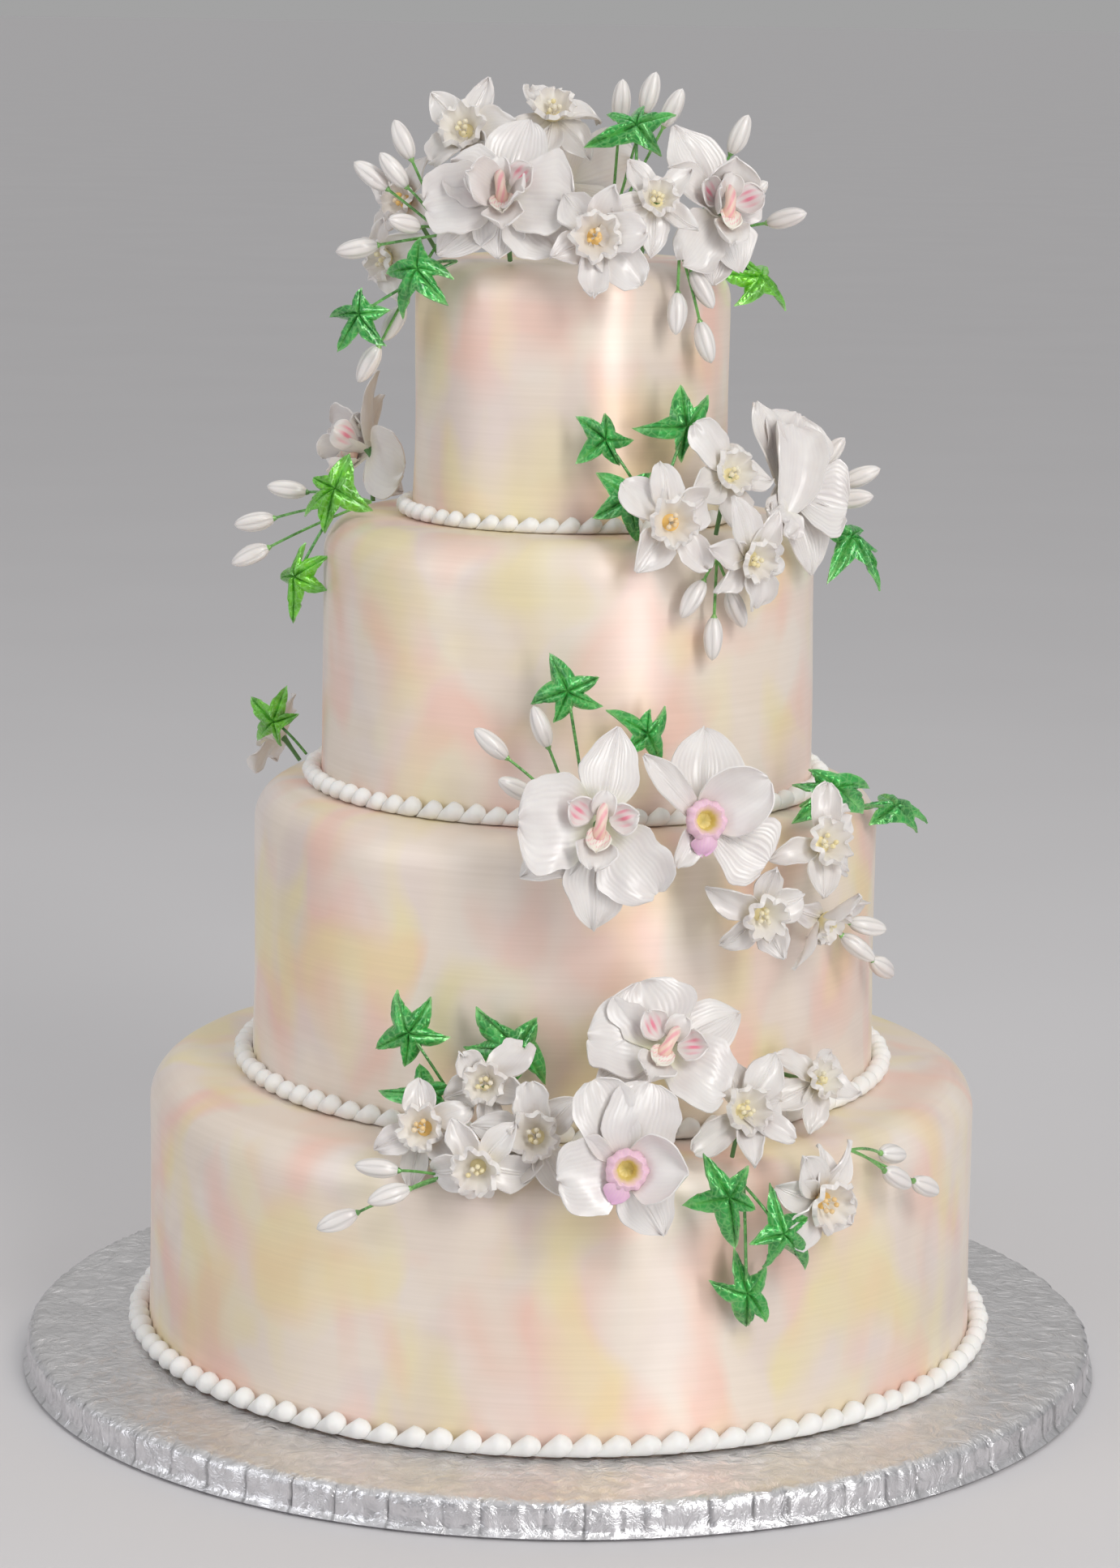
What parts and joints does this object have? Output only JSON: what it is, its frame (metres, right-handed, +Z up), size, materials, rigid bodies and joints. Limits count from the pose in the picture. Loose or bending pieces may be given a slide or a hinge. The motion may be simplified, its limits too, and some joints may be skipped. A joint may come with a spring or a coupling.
{
  "type": "tiered wedding cake",
  "caption": "Round tiered wedding cake in pearl fondant on a foil-wrapped board, with piped bead borders and sprays of sugar orchids, blossoms, ivy and buds.",
  "frame": {"origin": "middle of the board's underside", "axes": "+Z up along the axis of the tiers, -Y the front with the flowers, +X to the right seen from the front"},
  "size_m": [0.545, 0.545, 0.6471],
  "materials": {
    "foil": "crinkled silver foil",
    "fondant": "pearl lustre fondant, brushed with peach, yellow and lavender",
    "icing": "matte white royal icing",
    "petal": "satin pearl sugar paste",
    "leaf": "glossy green sugar paste",
    "bud": "pearl sugar paste"
  },
  "bodies": {
    "root": {"beads_1": "icing", "beads_2": "icing", "beads_3": "icing", "beads_4": "icing", "blossom_back_left": "petal", "blossom_base_a": "petal", "blossom_base_b": "petal", "blossom_base_c": "petal", "blossom_base_d": "petal", "blossom_base_e": "petal", "blossom_base_f": "petal", "blossom_base_g": "petal", "blossom_crown_a": "petal", "blossom_crown_b": "petal", "blossom_crown_c": "petal", "blossom_crown_d": "petal", "blossom_crown_e": "petal", "blossom_crown_f": "petal", "blossom_shoulder_a": "petal", "blossom_shoulder_b": "petal", "blossom_shoulder_c": "petal", "blossom_third_a": "petal", "blossom_third_b": "petal", "blossom_third_c": "petal", "board": "foil", "buds_base_left": "bud", "buds_base_right": "bud", "buds_crown_front": "bud", "buds_crown_left": "bud", "buds_crown_right": "bud", "buds_crown_top": "bud", "buds_left": "bud", "buds_shoulder_low": "bud", "buds_shoulder_right": "bud", "buds_third_left": "bud", "buds_third_right": "bud", "ivy_back_left": "leaf", "ivy_base_left": "leaf", "ivy_base_right": "leaf", "ivy_crown_left": "leaf", "ivy_crown_right": "leaf", "ivy_crown_top": "leaf", "ivy_left": "leaf", "ivy_shoulder_left": "leaf", "ivy_shoulder_right": "leaf", "ivy_third_right": "leaf", "ivy_third_upper": "leaf", "orchid_base_lower": "petal", "orchid_base_upper": "petal", "orchid_crown_back": "petal", "orchid_crown_left": "petal", "orchid_crown_right": "petal", "orchid_left": "petal", "orchid_shoulder": "petal", "orchid_third_left": "petal", "orchid_third_right": "petal", "tier_1": "fondant", "tier_2": "fondant", "tier_3": "fondant", "tier_4": "fondant"}
  },
  "joints": []
}
